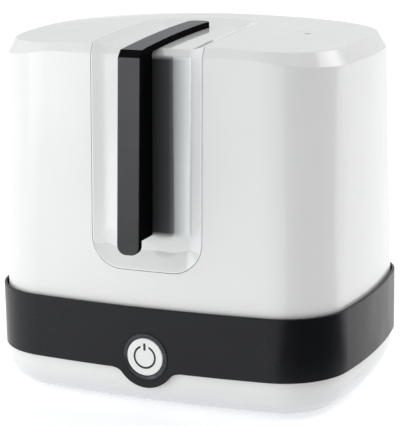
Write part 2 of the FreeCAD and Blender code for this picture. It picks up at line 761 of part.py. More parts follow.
def make_water_deck():
    """The top of the base: a rim for the hood, a locating ridge and the basin for the water."""
    rim = slab("deck_rim", "low", "0", "sheet.deck_rim_bottom", "sheet.deck_rim_top")
    basin = slab("deck_basin", "low", "-sheet.basin_offset", "sheet.basin_floor - sheet.basin_wall",
                 "sheet.deck_rim_bottom + 1")
    ridge_outer = slab("deck_ridge", "low", "-sheet.ridge_offset", "sheet.deck_rim_top - 1",
                       "sheet.deck_rim_top + sheet.ridge_height")
    ridge_inner = slab("deck_ridge_inner", "low", "-sheet.ridge_offset - sheet.ridge_width",
                       "sheet.deck_rim_top", "sheet.deck_rim_top + sheet.ridge_height + 1")
    solids = [rim, basin, cut("deck_ridge_ring", ridge_outer, ridge_inner)]
    openings = [slab("deck_water", "low", "-sheet.basin_offset - sheet.basin_wall", "sheet.basin_floor",
                     "sheet.deck_rim_top + 1"),
                cylinder("deck_heater_hole", "sheet.heater_hole_radius", "10", z="sheet.basin_floor - 6")]
    for i, (x, y) in enumerate(corner_places("boss_x", "boss_y")):
        solids.append(cylinder(f"deck_boss{i}", "4.5", "sheet.deck_rim_bottom - 5 + 0.5", x=x, y=y,
                               z="5.2"))
        openings.append(cylinder(f"deck_boss_bore{i}", "1.95", "22", x=x, y=y, z="0"))
    for i, turn in enumerate(range(45, 360, 90)):
        x, y = f"sheet.clamp_circle*cos({turn})", f"sheet.clamp_circle*sin({turn})"
        solids.append(cylinder(f"deck_clamp_boss{i}", "3.5", "4.0", x=x, y=y, z="sheet.basin_floor - 6"))
        openings.append(cylinder(f"deck_clamp_bore{i}", "1.3", "5.0", x=x, y=y, z="sheet.basin_floor - 7"))
    return cut("water_deck", fuse("deck_solids", *solids), fuse("deck_openings", *openings))


def make_heater():
    """Stainless plate under the basin's hole, its gasket, its tubular element and its clamp ring."""
    under_deck = "sheet.basin_floor - sheet.basin_wall"
    gasket = ring("plate_gasket", "sheet.plate_radius", "sheet.heater_hole_radius", "0.9",
                  z=f"{under_deck} - 1.0")
    plate = cylinder("heating_plate_disc", "sheet.plate_radius", "1.2", z=f"{under_deck} - 2.3")
    dish = cylinder("heating_plate_dish", "24", "1.0", z=f"{under_deck} - 1.5")

    def rim(edge):
        return edge.BoundBox.XLength > 100
    plate = rounded("heating_plate_soft", plate, 0.4, rim)
    plate = cut("heating_plate", plate, dish)
    tube = doc.addObject("Part::Torus", "element_torus")
    tube.Placement.Rotation = FreeCAD.Rotation(V(0, 0, 1), 15)
    bind(tube, Radius1="sheet.element_radius", Radius2="sheet.element_tube", Angle3="330",
         z=f"{under_deck} - 2.4 - sheet.element_tube")
    ends = []
    for i, side in enumerate((-1, 1)):
        ends.append(cylinder(f"element_end{i}", "2.2", "14",
                             x="sheet.element_radius*cos(sheet.element_end_turn)",
                             y=f"{side}*sheet.element_radius*sin(sheet.element_end_turn)",
                             z=f"{under_deck} - 22"))
    element = fuse("heating_element", tube, *ends)
    clamp = ring("heater_clamp_ring", "sheet.clamp_outer", "sheet.clamp_inner", "sheet.clamp_thickness",
                 z=f"{under_deck} - 5.3")
    bores, screws = [], []
    for i, turn in enumerate(range(45, 360, 90)):
        x, y = f"sheet.clamp_circle*cos({turn})", f"sheet.clamp_circle*sin({turn})"
        bores.append(cylinder(f"clamp_bore{i}", "1.6", "4", x=x, y=y, z=f"{under_deck} - 6"))
        screws.append(screw(f"clamp_screw{i}", "2.8", "1.6", "1.25", "5", None, x=x, y=y,
                            z=f"{under_deck} - 5.5"))
    step = ring("clamp_step", "sheet.plate_radius + 3", "63", "1.4", z=f"{under_deck} - 3.8")
    clamp = cut("heater_clamp", fuse("clamp_solid", clamp, step), fuse("clamp_bores", *bores))
    return gasket, plate, element, clamp, group("clamp_screws", *screws)


def make_heat_controls():
    """Thermostat and thermal fuse, held up against the plate by one bracket."""
    under_plate = "sheet.basin_floor - sheet.basin_wall - 2.3"
    body = cylinder("thermostat_body", "sheet.thermostat_radius", "6", z=f"{under_plate} - 6.2")
    cap = cylinder("thermostat_cap", "sheet.thermostat_radius - 1.5", "3", z=f"{under_plate} - 9")
    tabs = [box(f"thermostat_tab{i}", "1", "5", "6", x=f"{side}*5 - 0.5", y="-2.5", z=f"{under_plate} - 14")
            for i, side in enumerate((-1, 1))]
    thermostat = fuse("thermostat", body, cap, *tabs)
    fuse_body = cylinder("thermal_fuse_body", "2.2", "14", ALONG_X, x="16", y="-7", z=f"{under_plate} - 2.6")
    fuse_leads = cylinder("thermal_fuse_leads", "0.5", "24", ALONG_X, x="11", y="-7",
                          z=f"{under_plate} - 2.6")
    thermal_fuse = fuse("thermal_fuse", fuse_body, fuse_leads)
    depth, edge, low = "2*sheet.bracket_half_depth", "-sheet.bracket_half_depth", \
        f"{under_plate} - sheet.bracket_drop"
    strap = box("bracket_strap", "sheet.bracket_high_x - sheet.bracket_low_x", depth, "1.0",
                x="sheet.bracket_low_x", y=edge, z=low)
    legs = [box(f"bracket_leg{i}", "1.0", depth, "sheet.bracket_drop - 0.2", x=x, y=edge, z=low)
            for i, x in enumerate(("sheet.bracket_low_x", "sheet.bracket_high_x - 1.0"))]
    window = box("bracket_window", "14", "8", "3", x="-7", y="-4", z=f"{low} - 0.6")
    bracket = cut("thermostat_bracket", fuse("bracket_solid", strap, *legs), window)
    return thermostat, thermal_fuse, bracket


# ---------------------------------------------------------------- power button
def make_button():
    face, centre = "sheet.button_face", "sheet.button_height"
    disc = cylinder("cap_disc", "sheet.button_radius", "3.0", ALONG_Y, y=face, z=centre)
    front = size("button_face")

    def front_rim(edge):
        return edge.BoundBox.YMax < front + 0.1
    disc = rounded("cap_disc_soft", disc, 0.8, front_rim)
    skirt = cylinder("cap_skirt", "sheet.button_radius - 1.2", "4", ALONG_Y, y=f"{face} + 2", z=centre)
    plunger = cylinder("cap_plunger", "sheet.plunger_radius", "11.7", ALONG_Y, y=f"{face} + 2", z=centre)
    hollow = ring("cap_hollow", "sheet.button_radius - sheet.button_wall", "sheet.plunger_radius", "5",
                  ALONG_Y, y=f"{face} + 3.4", z=centre)
    seat = power_symbol_shapes("symbol_seat", "0.02")
    cap = cut("button_cap", fuse("cap_solid", disc, skirt, plunger), fuse("cap_cuts", hollow, *seat))
    symbol = fuse("power_symbol", *power_symbol_shapes("symbol", "0"))
    return cap, symbol


def power_symbol_shapes(name, grow):
    """The open circle and stroke of the usual power symbol, let into the cap's face."""
    face = "sheet.button_face - 0.02"
    centre = "sheet.button_height"
    depth = f"sheet.symbol_depth + {grow}"
    arc = ring(name + "_ring", f"sheet.symbol_radius + {grow}",
               f"sheet.symbol_radius - sheet.symbol_line - {grow}", depth, ALONG_Y, y=face, z=centre)
    mouth = box(name + "_mouth", "2*sheet.symbol_mouth_half", "4", "sheet.symbol_radius",
                x="-sheet.symbol_mouth_half", y=f"{face} - 1", z=f"{centre} + sheet.symbol_stroke_low - 0.6")
    half = f"(sheet.symbol_stroke_half + {grow})"
    stroke = box(name + "_stroke", f"2*{half}", depth, f"sheet.symbol_stroke_length + 2*{grow}",
                 x=f"-{half}", y=face, z=f"{centre} + sheet.symbol_stroke_low - {grow}")
    return cut(name + "_arc", arc, mouth), stroke


def make_button_mount():
    """The light ring round the cap, and the carrier, spring and screws behind it."""
    face, centre = "sheet.button_face", "sheet.button_height"
    inner = "sheet.button_radius + sheet.button_gap"
    ring_front = ring("light_ring_front", "sheet.ring_radius", inner, "5.4", ALONG_Y, y=f"{face} + 0.5",
                      z=centre)
    ring_flange = ring("light_ring_flange", "sheet.ring_radius + 1.6", inner, "1.2", ALONG_Y,
                       y=f"{face} + 4.7", z=centre)

    def front_edge(edge):
        return edge.BoundBox.YMax < size("button_face") + 0.6 and edge.BoundBox.XLength > 1
    light_ring = fuse("light_ring_solid", ring_front, ring_flange)
    light_ring = rounded("button_ring", light_ring, 0.6, front_edge)
    tube = ring("carrier_tube", "sheet.carrier_radius", "sheet.carrier_radius - sheet.carrier_wall", "9.6",
                ALONG_Y, y=f"{face} + 6.1", z=centre)
    back = cylinder("carrier_back", "sheet.carrier_radius", "1.6", ALONG_Y, y=f"{face} + 14.1", z=centre)
    guide = cylinder("carrier_guide", "4.4", "4.0", ALONG_Y, y=f"{face} + 11.7", z=centre)
    ears = [box(f"carrier_ear{i}", "20", "1.6", "9", x=f"{side}*20 - 10", y=f"{face} + 14.1",
                z=f"{centre} - 24")
            for i, side in enumerate((-1, 1))]
    legs = [box(f"carrier_leg{i}", "5", "5.2", "5", x=f"{side}*sheet.carrier_screw_x - 2.5",
                y=f"{face} + 14.1", z=f"{centre} - 22") for i, side in enumerate((-1, 1))]
    bores = [cylinder("carrier_bore", "sheet.plunger_radius + 0.2", "14", ALONG_Y, y=f"{face} + 6",
                      z=centre)]
    for i, side in enumerate((-1, 1)):
        bores.append(cylinder(f"carrier_screw_bore{i}", "0.95", "8", ALONG_Y,
                              x=f"{side}*sheet.carrier_screw_x", y=f"{face} + 13",
                              z=f"{centre} - sheet.carrier_screw_drop"))
        bores.append(cylinder(f"carrier_light_window{i}", "1.8", "6", ALONG_Y, x=f"{side}*sheet.lamp_x",
                              y=f"{face} + 12", z=centre))
    carrier = cut("button_carrier", fuse("carrier_solid", tube, back, guide, *ears, *legs),
                  fuse("carrier_bores", *bores))
    spring = doc.addObject("Part::Helix", "spring_path")
    bind(spring, Pitch="1.66", Height="8.3", Radius="5.4")
    coil_section = doc.addObject("Part::Circle", "spring_section")
    bind(coil_section, Radius="0.35", x="5.4")
    coil_section.Placement.Rotation = AGAINST_Y
    coil = doc.addObject("Part::Sweep", "spring_coil")
    coil.Sections = [coil_section]
    coil.Spine = (spring, [])
    coil.Solid = True
    coil.Frenet = True
    coil.Placement.Rotation = ALONG_Y
    bind(coil, y=f"{face} + 5.3", z=centre)
    return light_ring, carrier, group("button_spring", coil)


def make_electronics():
    """Control board behind the button, with its switch, lamps and screws, and the mains terminals."""
    face, centre = "sheet.button_face", "sheet.button_height"
    board_y = f"{face} + sheet.board_set_back"
    board_back = f"{board_y} + sheet.board_thickness"
    plate = box("board_plate", "2*sheet.board_half_width", "sheet.board_thickness", "sheet.board_height",
                x="-sheet.board_half_width", y=board_y, z=f"{centre} - 30.5")
    bores = [cylinder(f"board_bore{i}", "1.3", "4", ALONG_Y, x=f"{side}*sheet.carrier_screw_x",
                      y=f"{board_y} - 1", z=f"{centre} - sheet.carrier_screw_drop")
             for i, side in enumerate((-1, 1))]
    relay = box("board_relay", "16", "12", "15", x="-20", y=board_back, z=f"{centre} - 28")
    capacitor = cylinder("board_capacitor", "4", "14", ALONG_Y, x="17", y=board_back, z=f"{centre} - 20")
    chip = box("board_chip", "9", "1.8", "7", x="0", y=board_back, z=f"{centre} - 20")
    board = cut("control_board", fuse("board_solid", plate, relay, capacitor, chip),
                fuse("board_bores", *bores))
    switch_body = box("switch_body", "6", "3.2", "6", x="-3", y=f"{board_y} - 3.3", z=f"{centre} - 3")
    switch_stem = cylinder("switch_stem", "1.6", "1.2", AGAINST_Y, y=f"{board_y} - 3.2", z=centre)
    switch = fuse("power_switch", switch_body, switch_stem)
    lamps = []
    for i, side in enumerate((-1, 1)):
        lamps.append(cylinder(f"lamp{i}", "1.5", "3.4", AGAINST_Y, x=f"{side}*sheet.lamp_x",
                              y=f"{board_y} - 0.1", z=centre))
    screws = [screw(f"board_screw{i}", "2.2", "1.4", "0.9", "6", AGAINST_Y,
                    x=f"{side}*sheet.carrier_screw_x", y=f"{board_back} + 0.1",
                    z=f"{centre} - sheet.carrier_screw_drop") for i, side in enumerate((-1, 1))]
    block = box("terminal_body", "sheet.terminal_length", "14", "12",
                x="sheet.gland_x - sheet.terminal_length/2", y="sheet.terminal_y", z="4.2")
    wells = [cylinder(f"terminal_well{i}", "3", "8", x=f"sheet.gland_x + {step}*0.3*sheet.terminal_length",
                      y="sheet.terminal_y + 7", z="10") for i, step in enumerate((-1, 0, 1))]
    terminals = cut("terminal_block", block, fuse("terminal_wells", *wells))
    return board, switch, group("status_lamps", *lamps), group("board_screws", *screws), terminals


def make_cord_gland():
    """The bush in the rear wall that the mains lead enters through."""
    place = {"x": "sheet.gland_x", "y": "sheet.low_half_depth - sheet.gland_set_in",
             "z": "sheet.gland_height"}
    bush = cylinder("gland_bush", "sheet.gland_radius", "sheet.gland_length", ALONG_Y, **place)
    flange = cylinder("gland_flange", "sheet.gland_flange_radius", "2.5", ALONG_Y, **place)
    bore = cylinder("gland_bore", "sheet.gland_bore", "sheet.gland_length", ALONG_Y, **place)
    return cut("cord_gland", fuse("gland_solid", bush, flange), bore)


# ---------------------------------------------------------------- rack and tray
def cup_places():
    """Name and middle of each of the rack's six cups, three by two."""
    return [(f"{'front' if row < 0 else 'rear'}{column + 1}",
             f"{column}*sheet.rack_pitch", f"{row}*sheet.rack_pitch/2")
            for row in (-1, 1) for column in (-1, 0, 1)]


def make_bottle_rack():
    """A drained floor on four feet, with a socket for the stem in the middle."""
    floor = slab("rack_floor", "low", "-sheet.rack_inset", "sheet.rack_floor",
                 "sheet.rack_floor + sheet.rack_thickness")
    openings = []
    for tag, x, y in cup_places():
        openings.append(cylinder("rack_drain_" + tag, "sheet.rack_drain_radius", "10", x=x, y=y,
                                 z="sheet.rack_floor - 2"))
        for i, turn in enumerate(range(0, 360, 60)):
            openings.append(cylinder(f"rack_drain_{tag}_{i}", "sheet.rack_small_drain", "10",
                                     x=f"{x} + sheet.rack_drain_circle*cos({turn})",
                                     y=f"{y} + sheet.rack_drain_circle*sin({turn})",
                                     z="sheet.rack_floor - 2"))
    feet = [cylinder(f"rack_foot{i}", "5", "3", x=x, y=y, z="sheet.basin_floor + 0.3")
            for i, (x, y) in enumerate([(f"{side}*sheet.rack_foot_x", "0") for side in (-1, 1)]
                                       + [("0", f"{end}*sheet.rack_foot_y") for end in (-1, 1)])]
    hub = cylinder("rack_hub", "sheet.rack_hub_radius", "16", z="sheet.rack_floor")
    rack = fuse("rack_solid", floor, *feet, hub)
    openings.append(cylinder("rack_socket", "sheet.stem_radius + 0.1", "30", z="sheet.stem_base"))
    return cut("bottle_rack", rack, fuse("rack_openings", *openings))


def make_rack_cups():
    """The six round cups that hold the bottles upright on the rack's floor."""
    cups = [ring("rack_cup_" + tag, "sheet.rack_cup_radius", "sheet.rack_cup_radius - sheet.rack_cup_wall",
                 "sheet.rack_cup_height", x=x, y=y, z="sheet.rack_floor + sheet.rack_thickness")
            for tag, x, y in cup_places()]
    hub_space = cylinder("cup_hub_space", "sheet.rack_hub_radius + 0.15", "sheet.rack_cup_height",
                         z="sheet.rack_floor + sheet.rack_thickness")
    return cut("rack_cups", group("rack_cup_rings", *cups), hub_space)


def make_rack_stem():
    """The post that lifts the rack out and carries the tray."""
    post = cylinder("stem_post", "sheet.stem_radius", "sheet.tray_height - 0.3 - sheet.stem_base",
                    z="sheet.stem_base + 0.1")
    shoulder = cylinder("stem_shoulder", "16", "3", z="sheet.tray_height - 3.2")
    cone = doc.addObject("Part::Cone", "stem_cone")
    bind(cone, Radius1="sheet.stem_radius", Radius2="15", Height="12", z="sheet.tray_height - 15.1")
    return fuse("rack_stem", post, shoulder, cone)


def make_accessory_tray():
    """A shallow tray for teats and rings, with a floor of round holes."""
    outer = slab("tray_outer", "low", "-sheet.rack_inset", "sheet.tray_height",
                 "sheet.tray_height + sheet.tray_depth")
    inner = slab("tray_inner", "low", "-sheet.rack_inset - sheet.tray_wall", "sheet.tray_height + 2",
                 "sheet.tray_height + sheet.tray_depth + 1")
    openings = [inner]
    pitch, hub_clearance = size("tray_hole_pitch"), 20.0
    reach_x, reach_y = 125.0, 69.0
    for column in range(-6, 7):
        for row in range(-3, 4):
            x, y = column * pitch, row * pitch
            if math.hypot(x, y) < hub_clearance or math.hypot(x / reach_x, y / reach_y) > 1:
                continue
            openings.append(cylinder(f"tray_hole{column + 6}_{row + 3}", "sheet.tray_hole_radius", "6",
                                     x=f"{x}", y=f"{y}", z="sheet.tray_height - 2"))
    tray = cut("tray_dished", outer, fuse("tray_openings", *openings))
    hub = cylinder("tray_hub", "9", "8", z="sheet.tray_height + 1")
    return fuse("accessory_tray", tray, hub)


def main():
    """Build every sub-part, check them all, and write one file for each."""
    made = []
    for maker in (make_bottom_housing, make_feet, make_housing_screws, make_collar, make_water_deck,
                  make_heater, make_heat_controls, make_button, make_button_mount, make_electronics,
                  make_cord_gland, make_bottle_rack, make_rack_cups, make_rack_stem, make_accessory_tray,
                  make_hood_shell, make_recess_panel, make_handle, make_handle_fixings):
        result = maker()
        made += list(result) if isinstance(result, (tuple, list)) else [result]
    for thing in made:
        bind(thing, y=MIDDLE_OF_WHOLE)
    doc.recompute()
    for thing in doc.Objects:
        if "Invalid" in thing.State or "Error" in thing.State:
            raise RuntimeError(f"{thing.Name} did not rebuild: {thing.State}")
    for thing in made:
        if thing.Shape.isNull() or not thing.Shape.isValid():
            raise RuntimeError(f"{thing.Label} has no valid shape")
    os.makedirs("parts", exist_ok=True)
    for thing in made:
        thing.Shape.exportStep(f"parts/{thing.Label}.step")
        print(f"{thing.Label}: {len(thing.Shape.Solids)} solid(s), {thing.Shape.Volume / 1000:.1f} cm3")


doc = FreeCAD.newDocument("SteamSteriliser")
sheet = make_sheet()
doc.recompute()
main()
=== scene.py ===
import json
import math

import bpy
from mathutils import Matrix, Vector


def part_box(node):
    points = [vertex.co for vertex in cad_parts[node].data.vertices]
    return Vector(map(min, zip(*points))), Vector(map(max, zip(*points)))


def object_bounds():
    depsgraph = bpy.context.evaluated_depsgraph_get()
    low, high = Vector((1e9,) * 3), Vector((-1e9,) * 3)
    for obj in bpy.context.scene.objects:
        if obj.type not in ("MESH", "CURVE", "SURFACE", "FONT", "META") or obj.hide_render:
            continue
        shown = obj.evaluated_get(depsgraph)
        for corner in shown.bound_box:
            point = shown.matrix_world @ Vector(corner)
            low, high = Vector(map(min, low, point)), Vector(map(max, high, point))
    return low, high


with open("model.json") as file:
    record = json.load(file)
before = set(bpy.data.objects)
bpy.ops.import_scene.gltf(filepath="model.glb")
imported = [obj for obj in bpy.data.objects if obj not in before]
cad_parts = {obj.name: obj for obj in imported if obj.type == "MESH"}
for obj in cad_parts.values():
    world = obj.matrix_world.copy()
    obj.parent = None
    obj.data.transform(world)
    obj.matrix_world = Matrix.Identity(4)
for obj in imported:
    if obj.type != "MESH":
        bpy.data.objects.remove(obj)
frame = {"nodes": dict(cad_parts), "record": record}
CAD_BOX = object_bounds()
LOW, HIGH = CAD_BOX
WIDTH = HIGH.x - LOW.x
HEIGHT = HIGH.z - LOW.z
GRAIN_DEPTH = 0.00005

# Looks of an electric steam steriliser: a material for each slot of the record, a white studio, and the
# camera fitted to the photo's edges. Lengths are in metres, but the sensor's and the lens's in millimetres.


# ---------------------------------------------------------------- material kit
class Nodes:
    """A material's node tree, with short words for the nodes used again and again."""

    def __init__(self, name):
        self.material = bpy.data.materials.new(name)
        self.material.use_nodes = True
        self.tree = self.material.node_tree
        self.shader = self.tree.nodes["Principled BSDF"]
        self.place = self.add("ShaderNodeTexCoord").outputs["Object"]

    def add(self, kind, **inputs):
        node = self.tree.nodes.new(kind)
        for key, value in inputs.items():
            self.put(node.inputs[key.replace("_", " ")], value)
        return node

    def put(self, socket, value):
        if isinstance(value, bpy.types.NodeSocket):
            self.tree.links.new(value, socket)
        else:
            socket.default_value = value

    def noise(self, scale, detail=3.0, rough=0.55, stretch=None, seed=0.0):
        """Noise over the surface, scale in features per metre, drawn out along an axis by stretch."""
        mapping = self.add("ShaderNodeMapping", Vector=self.place)
        mapping.inputs["Location"].default_value = (seed, seed * 0.7, seed * 1.3)
        if stretch:
            mapping.inputs["Scale"].default_value = stretch
        noise = self.add("ShaderNodeTexNoise", Vector=mapping.outputs[0])
        noise.inputs["Scale"].default_value = scale
        noise.inputs["Detail"].default_value = detail
        noise.inputs["Roughness"].default_value = rough
        return noise.outputs["Fac"]

    def range(self, value, low, high, to_low, to_high):
        made = self.add("ShaderNodeMapRange", Value=value)
        made.inputs["From Min"].default_value = low
        made.inputs["From Max"].default_value = high
        made.inputs["To Min"].default_value = to_low
        made.inputs["To Max"].default_value = to_high
        return made.outputs[0]

    def mix(self, share, first, second):
        made = self.add("ShaderNodeMix")
        made.data_type = "RGBA"
        self.put(made.inputs[0], share)
        self.put(made.inputs[6], first)
        self.put(made.inputs[7], second)
        return made.outputs[2]

    def math(self, operation, first, second):
        made = self.add("ShaderNodeMath")
        made.operation = operation
        self.put(made.inputs[0], first)
        self.put(made.inputs[1], second)
        return made.outputs[0]

    def bump(self, height, strength, distance):
        made = self.add("ShaderNodeBump", Height=height)
        made.inputs["Strength"].default_value = strength
        made.inputs["Distance"].default_value = distance
        return made.outputs[0]

    def where(self):
        """The surface's own place, split into its X, Y and Z."""
        return self.add("ShaderNodeSeparateXYZ", Vector=self.place).outputs

    def cloud(self):
        """Slow patches, from 0 to 1, for the colour."""
        return self.range(self.noise(14.0, 4.0, seed=1.0), 0.35, 0.65, 0.0, 1.0)

    def smear(self, low, high):
        """Uneven sheen between two roughnesses, drawn out upwards."""
        return self.range(self.noise(38.0, 5.0, 0.6, (1.0, 1.0, 0.35), seed=2.0), 0.3, 0.7, low, high)

    def grain(self, strength):
        """The fine grain that the mould leaves."""
        return self.bump(self.noise(2600.0, 2.0, seed=3.0), strength, GRAIN_DEPTH)

    def set(self, **values):
        for key, value in values.items():
            self.put(self.shader.inputs[key.replace("_", " ")], value)


def tint(colour, factor):
    return tuple(min(1.0, part * factor) for part in colour) + (1.0,)


def moulded_plastic(name, colour, roughness, spread, grain, ior=1.5):
    """Injection-moulded plastic: cloudy colour, uneven sheen and a fine grain."""
    made = Nodes(name)
    made.set(Base_Color=made.mix(made.cloud(), tint(colour, 1.0 - spread), tint(colour, 1.0 + spread)),
             Roughness=made.smear(roughness * 0.85, roughness * 1.2),
             Normal=made.grain(grain))
    made.set(IOR=ior)
    return made.material


def white_plastic():
    """Glossy white, with painted shade: a greyer tint low on the base, to match the photo."""
    made = Nodes("white_gloss_plastic")
    collar_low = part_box("base_collar")[0].z
    # painted shade: the base is tinted greyer low down, fading out a little above the collar's low edge
    low = made.range(made.where()["Z"], collar_low * 0.3, collar_low * 1.3, 1.0, 0.0)
    white = made.mix(made.cloud(), (0.838, 0.843, 0.83, 1.0), (0.856, 0.862, 0.848, 1.0))
    grey = (0.66, 0.675, 0.7, 1.0)
    made.set(Base_Color=made.mix(low, white, grey),
             Roughness=made.smear(0.17, 0.24),
             Normal=made.grain(0.05))
    made.set(Coat_Weight=0.35, Coat_Roughness=0.06, IOR=1.5)
    return made.material


def dark_plastic():
    return moulded_plastic("anthracite_plastic", (0.006, 0.0065, 0.009),
                           roughness=0.3, spread=0.15, grain=0.4, ior=1.35)


def handle_plastic():
    """Soft black plastic with a silky top coat on its broad faces; its sides and its bend have no coat and a
    near-black colour, painted shade.

    The broad faces' lighter colour is a painted sheen, and it is tinted lighter with height, painted light,
    to match the photo.
    """
    bend_rise = 0.62  # how far up the surface faces, halfway round the bend
    made = Nodes("handle_soft_plastic")
    normal = made.add("ShaderNodeSeparateXYZ", Vector=made.add("ShaderNodeNewGeometry").outputs["Normal"])
    side = made.range(made.math("ABSOLUTE", normal.outputs["X"], 0.0), 0.35, 0.85, 0.0, 1.0)
    off_bend = made.math("ABSOLUTE", made.math("SUBTRACT", normal.outputs["Z"], bend_rise), 0.0)
    bend = made.range(off_bend, 0.22, 0.3, 1.0, 0.0)
    # painted shade: this mask also gives the sides and the bend a near-black colour
    bare_and_painted_shade = made.math("MAXIMUM", side, bend)
    low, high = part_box("handle_grip")
    patches = made.range(made.noise(60.0, 4.0, seed=1.5), 0.3, 0.7, -0.1, 0.1)
    # painted sheen and painted light: the broad faces get a lighter colour that grows lighter with height
    rise = made.math("ADD", made.range(made.where()["Z"], low.z, high.z, 0.1, 0.9), patches)
    painted_sheen_face = made.mix(rise, (0.038, 0.039, 0.04, 1.0), (0.077, 0.077, 0.082, 1.0))
    made.set(Base_Color=made.mix(bare_and_painted_shade, painted_sheen_face, (0.002, 0.002, 0.0025, 1.0)),
             Roughness=made.range(side, 0.0, 1.0, 0.42, 0.95),
             Coat_Weight=made.range(bare_and_painted_shade, 0.0, 1.0, 0.55, 0.0),
             Normal=made.bump(made.noise(2200.0, 2.0, seed=3.5), 0.7, GRAIN_DEPTH))
    made.set(IOR=1.12, Coat_Roughness=0.4)
    return made.material


def panel_plastic():
    """The recess panel: a lacquer that mirrors the handle on its floor and is plainer on its slopes.

    On the upright part the right slope is plain plastic in a lighter colour, a painted highlight, and the
    floor right of the handle's web is greyer, painted shade, with a dark strip beside the web, a painted
    reflection and painted shadow of the handle, painted to match the handle's mirror image in the photo.
    """
    # the masks' edges: half widths as shares of the two pieces' own, heights from the handle's low end and
    # from the top of the whole
    fade = 0.004
    web_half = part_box("handle_grip")[1].x * 0.45
    floor_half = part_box("recess_panel")[1].x * 0.66
    strip_end = web_half + (floor_half - web_half) * 0.45
    web_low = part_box("handle_grip")[0].z + 0.0065
    bend_low = HIGH.z - 0.016
    made = Nodes("panel_lacquered_plastic")
    where = made.where()
    across, height = where["X"], where["Z"]
    aside = made.math("ABSOLUTE", across, 0.0)
    floor = made.range(aside, floor_half, floor_half + fade, 1.0, 0.0)
    above = made.range(height, web_low, web_low + fade, 0.0, 1.0)
    upright = made.range(height, bend_low, bend_low + fade, 1.0, 0.0)
    on_floor = made.math("MULTIPLY", floor, above)
    right = made.range(across, 0.0, web_half, 0.0, 1.0)
    right_floor = made.math("MULTIPLY", made.math("MULTIPLY", right, upright), on_floor)
    strip = made.math("MULTIPLY", made.range(aside, strip_end, floor_half, 1.0, 0.0), right_floor)
    # painted reflection and painted shadow: a dark strip on the floor beside the web, darkest at the web
    dark = made.math("MULTIPLY", strip, made.range(across, web_half, strip_end, 0.98, 0.86))
    slope = made.math("MULTIPLY", made.math("SUBTRACT", 1.0, floor), right)
    patches = made.noise(14.0, 4.0, seed=1.0)
    plain_colour = made.mix(patches, (0.815, 0.832, 0.822, 1.0), (0.84, 0.857, 0.847, 1.0))
    # painted highlight: the right slope gets a lighter colour
    painted_highlight_slope = made.mix(slope, plain_colour, (0.93, 0.95, 0.95, 1.0))
    # painted shade: the floor right of the web gets a greyer colour
    painted_highlight_and_shade = made.mix(right_floor, painted_highlight_slope, (0.77, 0.79, 0.795, 1.0))
    shine = made.math("MULTIPLY", made.range(on_floor, 0.0, 1.0, 0.1, 0.42),
                      made.range(slope, 0.0, 1.0, 1.0, 0.0))
    made.set(Base_Color=made.mix(dark, painted_highlight_and_shade, (0.035, 0.039, 0.046, 1.0)),
             Metallic=made.math("MULTIPLY", shine, made.range(upright, 0.0, 1.0, 0.4, 1.0)),
             Roughness=made.smear(0.07, 0.1),
             Normal=made.grain(0.02))
    made.set(IOR=1.5)
    return made.material


def inner_plastic():
    return moulded_plastic("inner_grey_plastic", (0.6, 0.61, 0.62), roughness=0.38, spread=0.03, grain=0.4)


def rack_plastic():
    made = moulded_plastic("rack_milky_plastic", (0.72, 0.745, 0.77), roughness=0.3, spread=0.03, grain=0.3)
    shader = made.node_tree.nodes["Principled BSDF"]
    shader.inputs["Transmission Weight"].default_value = 0.12
    return made


def control_plastic():
    return moulded_plastic("control_black_plastic", (0.026, 0.027, 0.031),
                           roughness=0.45, spread=0.12, grain=0.5, ior=1.45)


def symbol_plastic():
    return moulded_plastic("symbol_black_plastic", (0.012, 0.012, 0.014),
                           roughness=0.4, spread=0.15, grain=0.4)


def ring_plastic():
    """The smoky light guide round the button: dished towards the button, with a black outer rim."""
    low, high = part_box("button_ring")
    middle, outer = (low + high) / 2, (high.x - low.x) / 2
    made = Nodes("ring_light_plastic")
    where = made.where()
    up = made.math("SUBTRACT", where["Z"], middle.z)
    square = made.math("ADD", made.math("MULTIPLY", where["X"], where["X"]), made.math("MULTIPLY", up, up))
    radius = made.math("POWER", square, 0.5)
    rim = made.range(radius, outer * 0.85, outer * 0.9, 0.0, 1.0)
    dish = made.range(radius, outer * 0.7, outer * 0.9, 0.0, 1.0)
    cloud = made.noise(60.0, 3.0, seed=5.0)
    smoke = made.mix(cloud, (0.035, 0.045, 0.056, 1.0), (0.055, 0.068, 0.082, 1.0))
    made.set(Base_Color=made.mix(rim, smoke, (0.008, 0.01, 0.013, 1.0)),
             Roughness=made.range(made.noise(200.0, seed=6.0), 0.3, 0.7, 0.2, 0.3),
             Normal=made.bump(dish, 1.0, 0.003))
    made.set(IOR=1.45)
    return made.material


def lamp_plastic():
    made = Nodes("lamp_clear_plastic")
    cloud = made.noise(300.0, seed=8.0)
    made.set(Base_Color=made.mix(cloud, (0.6, 0.72, 0.9, 1.0), (0.75, 0.85, 0.98, 1.0)),
             Roughness=made.range(made.noise(500.0, seed=9.0), 0.3, 0.7, 0.1, 0.2))
    made.set(Transmission_Weight=0.6, IOR=1.5)
    return made.material


def board_laminate():
    """Green laminate with a faint weave of glass and darker tracks."""
    made = Nodes("board_green_laminate")
    tracks = made.add("ShaderNodeTexVoronoi", Vector=made.place)
    tracks.feature = "DISTANCE_TO_EDGE"
    tracks.inputs["Scale"].default_value = 190.0
    line = made.range(tracks.outputs["Distance"], 0.03, 0.06, 1.0, 0.0)
    made.set(Base_Color=made.mix(line, (0.03, 0.16, 0.07, 1.0), (0.05, 0.27, 0.12, 1.0)),
             Roughness=made.range(made.noise(600.0, seed=10.0), 0.3, 0.7, 0.28, 0.42),
             Normal=made.bump(line, 0.3, 0.00004))
    return made.material


